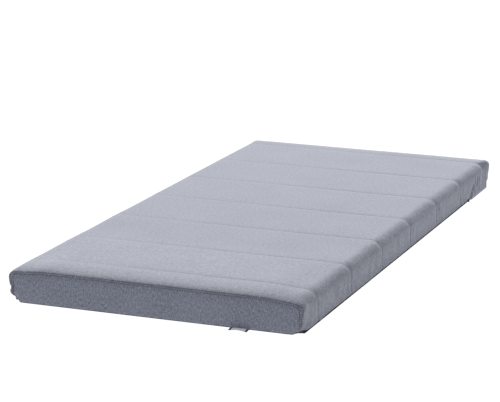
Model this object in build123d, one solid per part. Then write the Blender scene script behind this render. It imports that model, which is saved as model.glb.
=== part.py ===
from build123d import *
import os
from math import radians, sin

# A thin foam mattress in a quilted, zip-off cover. Millimetres; X across the bed, Y towards the
# head end, Z up. The origin is the middle of the face that it lies on.

# Overall form
WIDTH = 900.0
LENGTH = 2000.0
HEIGHT = 100.0
LONG_EDGE_R = 24.0  # the top panel rolls over into each long side
END_EDGE_R = 10.0  # and over the top edge of each end panel
CORNER_R = 8.0  # upright corners, in plan
TUCK_R = 5.0  # where the sides turn under

# Layers, from the outside inwards
FACE_T = 1.0
WADDING_T = 4.0
BACKING_T = 0.4
TAPE_T = 0.6
LINING_T = 0.6
UNDERSIDE_T = 1.6
GAP = 0.3  # between one layer and the next

# Foam core
MEMORY_FOAM_T = 45.0
CORE_LOWER_R = 14.0
CORE_CORNER_R = 25.0
CORE_END_GAP = 0.6  # the core is this much shorter at each end

# Stitching
THREAD_T = 0.4
THREAD_W = 1.2
GROOVE_T = 0.6  # the stitches pull the fabric in
GROOVE_W = 3.0
QUILT_ROWS = 7
QUILT_PITCH = 300.0
QUILT_SHIFT = 25.0  # the middle row is this far towards the head end
END_ROW_SETBACK = 13.0  # twin rows, one each side of an end seam
ZIP_ROW_RISE = 4.0  # above the hem

# Zip round three sides of the lower edge
CHAIN_Z = 6.2
COIL_H = 1.7
COIL_T = 1.9
CHAIN_GAP = 1.0  # between the two rows of the chain
TAPE_W = 12.0
SEWN_GAP = 0.1
ZIP_END_Y = 740.0  # both ends of the chain, on the long sides
STOP_L = 2.6
STOP_GAP = 1.0
TAPE_TAIL = 15.0
RUN_CLEARANCE = 0.3  # round the slider, on every side
HEM_CLEARANCE = 0.4  # from the slider up to the cover's hem
TAPE_FLANGE_W = 8.4  # the lower tape is turned in this far over the underside
STOP_EDGE_R = 0.25

# Slider and its pull tab
SLIDER_L = 11.0
SLIDER_HALF_W = 3.4
BLADE_T = 1.0
INNER_BLADE_HALF_W = 3.0
BLADE_BACK_SHARE = 0.8  # of the width at the front
BLADE_BACK_R = 1.2
BLADE_FRONT_R = 1.0
FLANGE_T = 0.8
NECK_L = 2.4
NECK_T = 0.4
PIN_R = 0.6
ARCH_T = 0.9
ARCH_W = 1.6
ARCH_L = 7.0
ARCH_R = 1.4
TAB_L = 18.0
TAB_W = 4.6
TAB_T = 1.0
TAB_RAIL = 1.0
TAB_WINDOW_L = 4.6
TAB_HOLE_R = 0.8
TAB_REST_DEG = 38.0  # stands off the chain by this much at rest

# Labels
END_LABEL_X = 267.0
END_LABEL_W = 56.0
END_LABEL_T = 0.7
END_LABEL_REACH = 17.0  # past the foot end
END_LABEL_BEND_R = 3.0
CARE_LABEL_X = 318.0
CARE_LABEL_W = 35.0
CARE_LABEL_L = 60.0

# Depth of each layer's outer face below the outside of the cover
WADDING_IN = FACE_T + GAP
BACKING_IN = WADDING_IN + WADDING_T + GAP
COVER_IN = BACKING_IN + BACKING_T
TAPE_IN = COVER_IN + GAP
LINING_IN = TAPE_IN + TAPE_T + GAP
FOAM_IN = LINING_IN + LINING_T + GAP

# Heights
HEM_Z = CHAIN_Z + SLIDER_HALF_W + HEM_CLEARANCE  # the cover's hem, over the zip
CLOSED_HEM_Z = UNDERSIDE_T + GAP  # the same where the cover is sewn shut
LOWER_TAPE_Z = UNDERSIDE_T + GAP
LINING_Z = LOWER_TAPE_Z + TAPE_T + GAP
FOAM_Z = LINING_Z + LINING_T + GAP
FOAM_SPLIT_Z = HEIGHT - FOAM_IN - MEMORY_FOAM_T
CLOSED_FROM_Y = ZIP_END_Y + TAPE_TAIL + 2 * GAP
COIL_IN = TAPE_IN - SEWN_GAP - COIL_T
SLIDER_Y = ZIP_END_Y - STOP_GAP - SLIDER_L / 2
REACH = LENGTH  # longer than anything that it cuts


def save(shape, node):
    export_step(shape, f"parts/{node}.step")


def side_profile(width, bottom, top, top_r, bottom_r):
    """A standing rectangle with rounded corners, its own Y as height."""
    face = Pos(0, (bottom + top) / 2) * Rectangle(width, top - bottom)
    face = fillet(face.vertices().group_by(Axis.Y)[-1], top_r)
    return fillet(face.vertices().group_by(Axis.Y)[0], bottom_r)


def plan_prism(inset, corner_r, bottom, top):
    """An upright prism over the mattress's plan, moved in by inset."""
    plan = RectangleRounded(WIDTH - 2 * inset, LENGTH - 2 * inset, corner_r)
    return extrude(Pos(0, 0, bottom) * plan, top - bottom)


def cover_form(inset):
    """The space inside the cover at that depth: the common part of three rounded prisms."""
    top = HEIGHT - inset
    lower_r = max(TUCK_R - inset, 0.2)
    across = side_profile(WIDTH - 2 * inset, 0.0, top, LONG_EDGE_R - inset, lower_r)
    along = side_profile(LENGTH - 2 * inset, 0.0, top, END_EDGE_R - inset, lower_r)
    form = extrude(Plane.XZ * across, REACH, both=True)
    form &= extrude(Plane.YZ * along, REACH, both=True)
    return form & plan_prism(inset, CORNER_R - inset, 0.0, top)


def core_form(depth, bottom):
    """The core's form, depth below the outside of its lining: square-cut ends, rounded long edges."""
    inset = LINING_IN + depth
    across = side_profile(
        WIDTH - 2 * inset, bottom, HEIGHT - inset, LONG_EDGE_R - inset, CORE_LOWER_R - depth
    )
    plan = RectangleRounded(
        WIDTH - 2 * inset, LENGTH - 2 * (inset + CORE_END_GAP), CORE_CORNER_R - depth
    )
    return extrude(Plane.XZ * across, REACH, both=True) & extrude(plan, HEIGHT)


def slab(y_low, y_high, z_low, z_high):
    """A box across the whole width."""
    box = Box(2 * WIDTH, y_high - y_low, z_high - z_low)
    return Pos(0, (y_low + y_high) / 2, (z_low + z_high) / 2) * box


def above_hem(depth):
    """Everything above the cover's lower edge: high over the zip, low where it is sewn shut."""
    over_zip = slab(-REACH, REACH, HEM_Z + depth, 2 * HEIGHT)
    sewn_shut = slab(CLOSED_FROM_Y + depth, REACH, CLOSED_HEM_Z + depth, 2 * HEIGHT)
    return over_zip + sewn_shut


def end_zone(side, spread=0.0):
    """The space of an end panel: side is -1 for the foot end and 1 for the head end."""
    inset = END_EDGE_R - spread
    outline = side_profile(WIDTH - 2 * inset, -TUCK_R, HEIGHT - inset, LONG_EDGE_R - inset, GAP)
    depth = COVER_IN + GAP + spread
    prism = extrude(Plane.XZ * outline, -2 * depth)
    return Pos(0, side * LENGTH / 2 - depth, 0) * prism


def cover_layer(outer, inner, hem):
    """A layer between two depths, from hem above the cover's lower edge, open underneath."""
    return (cover_form(outer) & above_hem(hem)) - cover_form(inner)


def cover_face():
    """The woven layer, with a lip turned in under the padding along its lower edge."""
    lip_inner_r = CORE_CORNER_R + LINING_IN - COVER_IN
    face = cover_form(0.0) & above_hem(0.0)
    face -= cover_form(FACE_T) & above_hem(FACE_T)
    return face - plan_prism(COVER_IN, lip_inner_r, 0.0, HEIGHT / 2)


def split_at_end_seams(layer):
    """One cover layer as its top piece, foot end piece and head end piece."""
    foot = layer & end_zone(-1)
    head = layer & end_zone(1)
    top = layer - end_zone(-1, GAP) - end_zone(1, GAP)
    return top, foot, head


def rim(outer, inner):
    """The band of the mattress's cross-section between two depths, standing in the XZ plane."""
    bands = [
        side_profile(WIDTH - 2 * d, -2 * TUCK_R, HEIGHT - d, LONG_EDGE_R - d, TUCK_R)
        for d in (outer, inner)
    ]
    return Plane.XZ * (bands[0] - bands[1])


def row_across(y, width, outer, inner):
    """A strip across the top and down both long sides, between two depths."""
    return Pos(0, y, 0) * extrude(rim(outer, inner), width / 2, both=True)


def row_on_end(side, width, outer, inner):
    """A strip round an end panel's outline, between two depths."""
    strip = extrude(rim(END_ROW_SETBACK - width / 2, END_ROW_SETBACK + width / 2), inner - outer)
    if side > 0:
        strip = mirror(strip, Plane.XZ)
    return Pos(0, side * (LENGTH / 2 - inner), 0) * strip


def wall(outer, inner, bottom, top):
    """A band on edge all round the mattress, concentric with the core's corners."""
    ring = [plan_prism(d, CORE_CORNER_R + LINING_IN - d, bottom, top) for d in (outer, inner)]
    return ring[0] - ring[1]


def along_zip(shape, end_y):
    """The part of a band on both long sides up to end_y, and on the foot end."""
    return shape & slab(-REACH, end_y, -HEIGHT, HEIGHT)


def above_zip_row(shape):
    """The part of a thread row that ends just over the zip's own stitching."""
    return shape & slab(-REACH, REACH, HEM_Z + ZIP_ROW_RISE + GROOVE_W, 2 * HEIGHT)


def hem_row(width, outer, inner):
    """A strip round the cover's sides over the zip, between two depths."""
    z = HEM_Z + ZIP_ROW_RISE
    ring = [plan_prism(d, CORNER_R - d, z - width / 2, z + width / 2) for d in (outer, inner)]
    return along_zip(ring[0] - ring[1], ZIP_END_Y)


def underside_row(width, bottom, top):
    """A strip under the lower tape, between two heights."""
    inset = LINING_IN + TAPE_W / 4
    band = wall(inset - width / 2, inset + width / 2, bottom, top)
    return along_zip(band, ZIP_END_Y)


# ------------------------------------------------------------------------------------- core


def make_core():
    foam = core_form(FOAM_IN - LINING_IN, FOAM_Z)
    save(foam & slab(-REACH, REACH, FOAM_SPLIT_Z, HEIGHT), "memory_foam_layer")
    save(foam & slab(-REACH, REACH, 0, FOAM_SPLIT_Z - GAP), "base_foam_layer")
    lining = core_form(0.0, LINING_Z) - core_form(LINING_T, LINING_Z + LINING_T)
    save(lining, "core_lining")


# ------------------------------------------------------------------------------------- cover


def quilt_row_ys():
    first = QUILT_SHIFT - QUILT_PITCH * (QUILT_ROWS - 1) / 2
    return [first + i * QUILT_PITCH for i in range(QUILT_ROWS)]


def end_row_y(side):
    return side * (LENGTH / 2 - END_ROW_SETBACK)


def make_cover_panels():
    top, foot, head = split_at_end_seams(cover_face())
    seam_rows = hem_row(GROOVE_W, -GAP, GROOVE_T)
    for y in quilt_row_ys():
        top -= above_zip_row(row_across(y, GROOVE_W, -GAP, GROOVE_T))
    for side in (-1, 1):
        top -= above_zip_row(row_across(end_row_y(side), GROOVE_W, -GAP, GROOVE_T))
    foot -= above_zip_row(row_on_end(-1, GROOVE_W, -GAP, GROOVE_T))
    head -= above_zip_row(row_on_end(1, GROOVE_W, -GAP, GROOVE_T))
    save(top - seam_rows, "top_panel")
    save(foot - seam_rows, "foot_end_panel")
    save(head, "head_end_panel")

    hem = FACE_T + GAP
    wadding = cover_layer(WADDING_IN, WADDING_IN + WADDING_T, hem)
    backing = cover_layer(BACKING_IN, COVER_IN, hem)
    for layer, name in ((wadding, "wadding"), (backing, "backing")):
        for piece, place in zip(split_at_end_seams(layer), ("top", "foot_end", "head_end")):
            save(piece, f"{place}_{name}")


def make_underside():
    edge = COIL_IN - GAP
    panel = plan_prism(edge, CORE_CORNER_R + LINING_IN - edge, 0.0, UNDERSIDE_T)
    save(panel - underside_row(GROOVE_W, -GAP, GROOVE_T), "underside_panel")


def make_stitching():
    thread_in = (GROOVE_T - THREAD_T) / 2
    depths = (thread_in, thread_in + THREAD_T)
    for number, y in enumerate(quilt_row_ys(), start=1):
        save(above_zip_row(row_across(y, THREAD_W, *depths)), f"quilting_stitch_row_{number}")
    for side, place in ((-1, "foot_end"), (1, "head_end")):
        on_top = above_zip_row(row_across(end_row_y(side), THREAD_W, *depths))
        on_end = above_zip_row(row_on_end(side, THREAD_W, *depths))
        save(Compound(on_top.solids() + on_end.solids()), f"{place}_topstitching")
    save(hem_row(THREAD_W, *depths), "zip_upper_stitching")
    save(underside_row(THREAD_W, *depths), "zip_lower_stitching")


def make_labels():
    """The end label hangs out of the hem over the zip, and the care label is sewn in below the core."""
    seam_y = -LENGTH / 2 + TAPE_IN - END_LABEL_T / 2
    hem_z = HEM_Z - END_LABEL_T
    route = FilletPolyline(
        (seam_y, hem_z),
        (-LENGTH / 2 - 1.0, hem_z),
        (-LENGTH / 2 - END_LABEL_REACH / 2, CHAIN_Z - 1.0),
        (-LENGTH / 2 - END_LABEL_REACH, END_LABEL_T),
        radius=END_LABEL_BEND_R,
    )
    label = extrude(Plane.YZ * trace(route, END_LABEL_T), END_LABEL_W / 2, both=True)
    save(Pos(END_LABEL_X, 0, 0) * label, "end_label")

    tape_edge = LENGTH / 2 - LINING_IN - TAPE_W + TAPE_T
    care_label = Box(CARE_LABEL_W, CARE_LABEL_L, GAP)
    place = Pos(CARE_LABEL_X, GAP + CARE_LABEL_L / 2 - tape_edge, UNDERSIDE_T + 2 * GAP)
    save(place * care_label, "care_label")


# ------------------------------------------------------------------------------------- zip


def make_zip_tapes_and_coils():
    tape_end = ZIP_END_Y + TAPE_TAIL
    upper_row_z = CHAIN_Z + CHAIN_GAP / 2
    lower_row_z = CHAIN_Z - CHAIN_GAP / 2
    upper = wall(TAPE_IN, TAPE_IN + TAPE_T, upper_row_z, upper_row_z + TAPE_W)
    lower = wall(TAPE_IN, TAPE_IN + TAPE_T, LOWER_TAPE_Z, lower_row_z)
    lower += wall(TAPE_IN, LINING_IN + TAPE_FLANGE_W, LOWER_TAPE_Z, LOWER_TAPE_Z + TAPE_T)
    upper = along_zip(upper, tape_end)
    lower = along_zip(lower, tape_end)
    save(upper, "zip_upper_tape")
    save(lower, "zip_lower_tape")

    coil_inner = COIL_IN + COIL_T
    rows = {
        "zip_upper_coil": wall(COIL_IN, coil_inner, upper_row_z, upper_row_z + COIL_H),
        "zip_lower_coil": wall(COIL_IN, coil_inner, lower_row_z - COIL_H, lower_row_z),
    }
    for name, coil in rows.items():
        save(along_zip(coil, ZIP_END_Y), name)
    make_stops(upper, lower)


def stop_block(side, z_low, z_high):
    """A crimp on one long side, just past the end of the chain, before the tape is cut out of it."""
    depth = COIL_T + 2 * TAPE_T + SEWN_GAP
    block = fillet(Box(depth, STOP_L, z_high - z_low).edges(), STOP_EDGE_R)
    x = WIDTH / 2 - COIL_IN - depth / 2
    y = ZIP_END_Y + STOP_GAP + STOP_L / 2
    return Pos(side * x, y, (z_low + z_high) / 2) * block


def make_stops(upper, lower):
    """Two crimps where the slider parks, and one across both tapes at the other end."""
    near = CHAIN_GAP / 2 - SEWN_GAP
    far = CHAIN_GAP / 2 + COIL_H
    above = stop_block(1, CHAIN_Z + near, CHAIN_Z + far) - upper
    below = stop_block(1, CHAIN_Z - far, CHAIN_Z - near) - lower
    save(Compound(above.solids() + below.solids()), "zip_top_stops")
    save(stop_block(-1, CHAIN_Z - far, CHAIN_Z + far) - upper - lower, "zip_bottom_stop")


OUTER_BLADE_X = WIDTH / 2 - COIL_IN + RUN_CLEARANCE  # inner face of the outer blade
PIN_X = OUTER_BLADE_X + BLADE_T + RUN_CLEARANCE + PIN_R


def blade(x, half_width):
    """A shield-shaped plate of the slider, wider at its front, its inner face at x."""
    front, back = SLIDER_L / 2, -SLIDER_L / 2
    narrow = half_width * BLADE_BACK_SHARE
    outline = Polygon(
        (front, -half_width),
        (front, half_width),
        (0, half_width),
        (back, narrow),
        (back, -narrow),
        (0, -half_width),
        align=None,
    )
    outline = fillet(outline.vertices().group_by(Axis.X)[0], BLADE_BACK_R)
    outline = fillet(outline.vertices().group_by(Axis.X)[-1], BLADE_FRONT_R)
    return Pos(x, 0, 0) * extrude(Plane.YZ * outline, BLADE_T)


def make_slider():
    """Two blades joined by a neck at the front, flanges that hold the chain, and an arch for the tab."""
    outer = blade(OUTER_BLADE_X, SLIDER_HALF_W)
    inner_x = WIDTH / 2 - LINING_IN - BLADE_T
    inner = blade(inner_x, INNER_BLADE_HALF_W)
    neck = Box(OUTER_BLADE_X - inner_x, NECK_L, NECK_T, align=(Align.MIN, Align.MAX, Align.CENTER))
    slider = outer + inner + Pos(inner_x, SLIDER_L / 2, 0) * neck

    tip_x = WIDTH / 2 - TAPE_IN + RUN_CLEARANCE
    flange_l = SLIDER_L / 2 - BLADE_FRONT_R
    flange = Box(
        OUTER_BLADE_X - tip_x, flange_l, FLANGE_T, align=(Align.MIN, Align.MIN, Align.MAX)
    )
    flange = Pos(tip_x, 0, SLIDER_HALF_W) * flange
    slider += flange + mirror(flange, Plane.XY)

    foot_x = OUTER_BLADE_X + BLADE_T
    arch_h = PIN_X + PIN_R + RUN_CLEARANCE + ARCH_T - foot_x
    arch = Box(arch_h, ARCH_L, ARCH_W, align=(Align.MIN, Align.CENTER, Align.CENTER))
    arch = fillet(arch.edges().filter_by(Axis.Z).group_by(Axis.X)[-1], ARCH_R)
    hollow = Box(
        arch_h - ARCH_T, ARCH_L - 2 * ARCH_T, 2 * ARCH_W, align=(Align.MIN, Align.CENTER, Align.CENTER)
    )
    slider += Pos(foot_x, 0, 0) * (arch - hollow)
    save(Pos(0, SLIDER_Y, CHAIN_Z) * slider, "zip_slider")


def make_pull_tab():
    """A flat tab with a window round the arch, closed by the round bar that it swings on."""
    plate = Box(TAB_T, TAB_L, TAB_W, align=(Align.CENTER, Align.MAX, Align.CENTER))
    plate = fillet(plate.edges().filter_by(Axis.X).group_by(Axis.Y)[0], TAB_W * 0.45)
    window = Box(
        2 * TAB_T, TAB_WINDOW_L, TAB_W - 2 * TAB_RAIL, align=(Align.CENTER, Align.MAX, Align.CENTER)
    )
    grip_hole = Pos(0, TAB_W / 2 - TAB_L, 0) * Rot(0, 90, 0) * Cylinder(TAB_HOLE_R, 2 * TAB_T)
    bar = Cylinder(PIN_R, TAB_W)
    tab = plate - window - grip_hole + bar
    tab = Rot(0, 0, TAB_REST_DEG) * tab
    save(Pos(PIN_X, SLIDER_Y, CHAIN_Z) * tab, "zip_pull_tab")


def print_joint_places():
    """The numbers that the joints need, in millimetres."""
    route_end = -(LENGTH / 2 - LINING_IN - CORE_CORNER_R)
    travel = SLIDER_Y - SLIDER_L / 2 - route_end
    print(f"slider travel along -Y: up to {travel:.1f}")
    print(f"tab pin: x {PIN_X:.2f}, y {SLIDER_Y:.2f}, z {CHAIN_Z:.2f}")
    print(f"tab tip: x {PIN_X + TAB_L * sin(radians(TAB_REST_DEG)):.2f}")


os.makedirs("parts", exist_ok=True)
make_core()
make_cover_panels()
make_underside()
make_stitching()
make_labels()
make_zip_tapes_and_coils()
make_slider()
make_pull_tab()
print_joint_places()
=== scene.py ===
import math

import bpy
import numpy as np
from mathutils import Matrix, Vector


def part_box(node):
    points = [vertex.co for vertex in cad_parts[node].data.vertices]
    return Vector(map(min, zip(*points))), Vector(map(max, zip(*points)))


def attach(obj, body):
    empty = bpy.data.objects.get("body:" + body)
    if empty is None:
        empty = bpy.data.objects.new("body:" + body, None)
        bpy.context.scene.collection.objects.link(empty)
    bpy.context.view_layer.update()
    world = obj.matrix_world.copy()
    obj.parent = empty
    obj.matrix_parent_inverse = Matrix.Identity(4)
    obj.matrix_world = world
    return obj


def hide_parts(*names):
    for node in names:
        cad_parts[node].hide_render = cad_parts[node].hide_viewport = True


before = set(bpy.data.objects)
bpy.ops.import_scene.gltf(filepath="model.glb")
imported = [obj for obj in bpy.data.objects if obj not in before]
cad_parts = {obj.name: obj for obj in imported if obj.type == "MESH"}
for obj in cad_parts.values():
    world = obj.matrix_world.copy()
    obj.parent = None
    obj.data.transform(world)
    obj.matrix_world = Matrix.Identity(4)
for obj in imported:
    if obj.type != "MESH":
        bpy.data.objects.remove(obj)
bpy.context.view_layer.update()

# ---------------------------------------------------------------- places, from model.glb (metres)

HALF_W, HALF_L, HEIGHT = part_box("top_panel")[1]
ZIP_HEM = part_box("foot_end_panel")[0].z  # the cover's lower edge, over the zip
CLOSED_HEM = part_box("head_end_panel")[0].z  # and where the cover is sewn shut
ZIP_END_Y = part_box("zip_upper_coil")[1].y
CLOSED_FROM_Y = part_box("zip_upper_tape")[1].y
FOAM_JOINT_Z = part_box("memory_foam_layer")[0].z
QUILT_NODES = sorted(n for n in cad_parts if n.startswith("quilting_stitch_row"))


def middle(node, axis):
    low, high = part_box(node)
    return (low[axis] + high[axis]) / 2


QUILT_YS = [middle(node, 1) for node in QUILT_NODES]

# ---------------------------------------------------------------- form of the cover (metres)

EDGE_W, EDGE_H = 0.030, 0.026  # rounding of the right long edge, across and down
ROW_EDGE_W, ROW_EDGE_H = 0.034, 0.029  # the same where a stitch row draws it down
LEFT_EDGE_W, LEFT_EDGE_H = 0.017, 0.014  # the left edge is tighter along its whole length
END_EDGE_W, END_EDGE_H = 0.016, 0.016  # both edges close to the end panels,
FOOT_EDGE_W, FOOT_EDGE_H = 0.036, 0.021  # but for the foot end's right corner
FOOT_REACH, FOOT_DROP = 0.090, 0.011  # the top falls away towards the foot end over this distance
HEAD_REACH, HEAD_DROP = 0.040, 0.004  # and less at the head end
FOOT_RISE = 0.0075  # the middle of the top stands up before the foot end
ROLL_L = 0.005  # roll over each end edge: its size along the bed,
ROLL_TOP, ROLL_SIDE = 0.0015, 0.0025  # and downwards over the top edge, and inwards at the sides
SEAM_TUCK = 0.0025  # how far the fabric turns into an end seam
SET_BACK = 0.0015  # the rolls lie this far behind the fullest part of the end panels
LIP_R = 0.0012  # fold of the hem
LIP_W = 0.003
FABRIC_T = 0.001
HANGING_HEM = 0.0023  # the hem hangs over the zip where no slider runs
SLIDER_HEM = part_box("zip_pull_tab")[1].z + 0.0014  # and clears the pull tab on the right
CORNER_REACH = 0.034  # the lower corners are drawn in over this distance
CORNER_PULL = 0.013
CORNER_LIFT = 0.004
CORNER_TOP = 0.032  # and up to this height
CORNER_FLARE = 0.0045  # the upper corners stand out
DENT_DEPTH, DENT_REACH = 0.0048, 0.050  # where the slabs meet, at the foot end's left corner
CREASE_DEPTH, CREASE_H = 0.0004, 0.0055  # and along the rest of their joint
VALLEY_TOP, VALLEY_SIDE, VALLEY_W = 0.0002, 0.0008, 0.003  # the narrow valley of a stitch row
DIP, DIP_W = 0.0003, 0.018  # and the broad one
GATHER = 0.00025  # ripples along a row
ROW_FOLD = 0.0011  # folds beside a row, on the sides
SIDE_FOLD = 0.0011  # folds anywhere on the sides
SWELL = 0.0022  # of the sides
HEM_IN, HEM_OUT = 0.0016, 0.0045  # the left hem turns in, the right one stands out
PARKED_W = 0.018  # but for this far to each side of the parked slider
END_PUFF = 0.0024  # of the end panels
END_HEM_IN = 0.0012  # how far their hem turns in
CORE_CORNER_R = 0.025


def smooth(low, high, value):
    share = np.clip((value - low) / (high - low), 0.0, 1.0)
    return share * share * (3 - 2 * share)


def bump(distance, width):
    return np.exp(-((distance / width) ** 2))


def ripples(a, b, shortest, longest, count, seed):
    """A smooth random field over two coordinates, about -1 to 1, as a sum of waves."""
    draw = np.random.default_rng(seed)
    total = np.zeros(np.broadcast(a, b).shape)
    for _ in range(count):
        heading = draw.uniform(0, 2 * math.pi)
        rate = 2 * math.pi / draw.uniform(shortest, longest)
        phase = draw.uniform(0, 2 * math.pi)
        total += np.sin(rate * (a * math.cos(heading) + b * math.sin(heading)) + phase)
    return total / math.sqrt(count / 2) / 2


def hem_height(u, y):
    """The cover's lower edge: over the zip, and lower past the end of its tapes."""
    over_zip = np.where(u < 0, HANGING_HEM, SLIDER_HEM)
    return over_zip + (CLOSED_HEM - over_zip) * smooth(CLOSED_FROM_Y - 0.003, CLOSED_FROM_Y + 0.010, y)


def edge_rounding(u, y):
    """How far across and down a long edge is rounded: broadly on the right, most in line with each
    stitch row and at the foot end's right corner, and tightly on the left and at the other corners."""
    at_row = sum(bump(y - row, 0.020) for row in QUILT_YS)
    at_end = smooth(HALF_L - 0.085, HALF_L - 0.015, np.abs(y))
    at_foot_right = (u > 0) & (y < 0)
    sizes = []
    for plain, left, row, end, foot in (
        (EDGE_W, LEFT_EDGE_W, ROW_EDGE_W, END_EDGE_W, FOOT_EDGE_W),
        (EDGE_H, LEFT_EDGE_H, ROW_EDGE_H, END_EDGE_H, FOOT_EDGE_H),
    ):
        along = np.where(u < 0, left, plain + (row - plain) * at_row)
        sizes.append(along + (np.where(at_foot_right, foot, end) - along) * at_end)
    return sizes


def crown(u, y):
    """Height of the top, which falls away in a quarter ellipse towards each end, and stands up in
    the middle of its width before the foot end."""
    drop = 0
    for side, reach, depth in ((-1, FOOT_REACH, FOOT_DROP), (1, HEAD_REACH, HEAD_DROP)):
        share = np.clip((side * y - HALF_L + reach) / reach, 0, 0.98)
        drop += depth * (1 - np.sqrt(1 - share**2))
    towards_foot = 1 - smooth(-0.92, -0.45, y / HALF_L)
    off_edges = 1 - smooth(0.75, 1.05, np.abs(u))
    return HEIGHT + FOOT_RISE * towards_foot * off_edges - drop


def section(u, y):
    """The cover's cross-section at y. Stations u: 0 middle of the top, 1 and 2 the ends of the
    rounded edge, 3 the hem, 4 the inner end of its lip. Returns x, z, the normal and the arc."""
    a = np.abs(u)
    side = np.where(u < 0, -1.0, 1.0)
    edge_w, edge_h = edge_rounding(u, y)
    flat = np.clip(a, 0, 1) * (HALF_W - edge_w)
    turn = np.clip(a - 1, 0, 1) * math.pi / 2
    top = crown(u, y)
    down = np.clip(a - 2, 0, 1) * (top - edge_h - hem_height(u, y) - LIP_R)
    fold = np.clip(2 * (a - 3), 0, 1) * math.pi / 2
    lip = np.clip(2 * (a - 3.5), 0, 1) * LIP_W
    x = flat + edge_w * np.sin(turn) - LIP_R * (1 - np.cos(fold)) - lip
    z = top - edge_h * (1 - np.cos(turn)) - down - LIP_R * np.sin(fold)
    arc = flat + (edge_w + edge_h) / 2 * turn + down + LIP_R * fold + lip
    slant = np.arctan2(edge_h * np.sin(turn), edge_w * np.cos(turn))
    angle = slant + fold
    return side * x, z, side * np.sin(angle), np.cos(angle), side * arc


def roll_depth(u):
    """How deep the roll over an end edge is at station u: full over the top, slight at the sides."""
    return ROLL_TOP + (ROLL_SIDE - ROLL_TOP) * smooth(1.2, 2.0, np.abs(u))


def along_bed(t):
    """Stations t: -1 to 1 the straight part, 2 the end of the roll over the end edge, 3 the seam.
    Returns y and how far over the roll, and then into the seam, the surface has turned."""
    a = np.abs(t)
    turn = np.clip(a - 1, 0, 1) * math.pi / 2
    tuck = np.clip(a - 2, 0, 1) * math.pi / 2
    straight = np.clip(a, 0, 1) * (HALF_L - SET_BACK - ROLL_L)
    y = straight + ROLL_L * np.sin(turn) - SEAM_TUCK * (1 - np.cos(tuck))
    return np.where(t < 0, -1.0, 1.0) * y, turn, tuck


def draw_in_corners(points):
    """The cover's lower corners are pulled in and up, where the zip goes round, and its upper
    corners stand out a little."""
    x, y, z = points[..., 0], points[..., 1], points[..., 2]
    near_x = smooth(HALF_W - CORNER_REACH, HALF_W, np.abs(x))
    near_y = smooth(HALF_L - CORNER_REACH, HALF_L, np.abs(y))
    share = near_x * near_y * (1 - smooth(0.0, CORNER_TOP, z))
    moved = points.copy()
    moved[..., 0] -= np.sign(x) * CORNER_PULL * share
    moved[..., 1] -= np.sign(y) * CORNER_PULL * share
    moved[..., 2] += CORNER_LIFT * share
    near_x = smooth(HALF_W - 0.030, HALF_W, np.abs(x))
    near_y = smooth(HALF_L - 0.060, HALF_L - 0.010, np.abs(y))
    flare = CORNER_FLARE * near_x * near_y * smooth(0.040, 0.085, z)
    moved[..., 0] += np.sign(x) * flare
    return moved


def foam_joint_crease(x, y, z):
    """The fabric dips between the two foam slabs, most at the foot end's left corner."""
    from_corner = np.hypot(x + HALF_W, y + HALF_L)
    strong = DENT_DEPTH * np.exp(-from_corner / DENT_REACH)
    faint = CREASE_DEPTH * (1 + np.sin(9 * x + 5 * y))
    return -(strong + faint) * bump(z - FOAM_JOINT_Z + 0.002, CREASE_H)


def quilting_relief(arc, y, z):
    """Each stitch row lies in a valley, with ripples gathered beside it, most on the sides. On the
    top the valleys grow shallow towards the left."""
    on_side = 1 - smooth(0.055, 0.085, z)
    on_top = 0.3 + 0.7 * smooth(-0.40, 0.20, arc)
    relief = np.zeros(np.broadcast(arc, y).shape)
    for number, row in enumerate(QUILT_YS):
        off = y - row
        valley = (VALLEY_TOP * on_top + VALLEY_SIDE * on_side) * bump(off, VALLEY_W)
        valley += DIP * on_top * bump(off, DIP_W)
        relief -= valley * (0.85 + 0.3 * ripples(arc, y, 0.03, 0.09, 5, 30 + number))
        gathers = ripples(arc, 0 * y, 0.016, 0.034, 6, 50 + number)
        relief += GATHER * on_top * gathers * np.exp(-np.abs(off) / 0.016)
        pitch = 0.030 + 0.004 * math.sin(2.3 * number)
        folds = np.cos(2 * math.pi * (off - 0.012) / pitch) * np.exp(-np.abs(off) / 0.035)
        uneven = 0.6 + 0.4 * ripples(arc, 0 * y, 0.03, 0.08, 4, 70 + number)
        relief += ROW_FOLD * folds * uneven * on_side * smooth(0.002, 0.010, np.abs(off))
    return relief


def slack_relief(arc, y, z):
    """Broad unevenness of the top and softer folds on the long sides."""
    on_side = 1 - smooth(0.060, 0.090, z)
    broad = 0.0005 * ripples(arc, y, 0.16, 0.45, 9, 11)
    folds = ripples(y, 0.5 * z, 0.035, 0.11, 9, 12) * ripples(y, z, 0.12, 0.5, 6, 13)
    return broad + SIDE_FOLD * folds * on_side


def side_bulge(u, y, z):
    """The sides swell a little. The left hem turns in, and the right one stands out over the zip,
    except where the slider is parked."""
    height = np.clip(z / HEIGHT, 0, 1)
    swell = SWELL * np.sin(math.pi * height) * (1 - smooth(0.07, 0.1, z))
    parked = 1 - 1.2 * bump(y - middle("zip_slider", 1), PARKED_W)
    at_hem = np.where(u < 0, -HEM_IN, HEM_OUT * parked)
    return (swell + at_hem * (1 - smooth(0.008, 0.030, z))) * (z < HEIGHT - 0.005)


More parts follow.
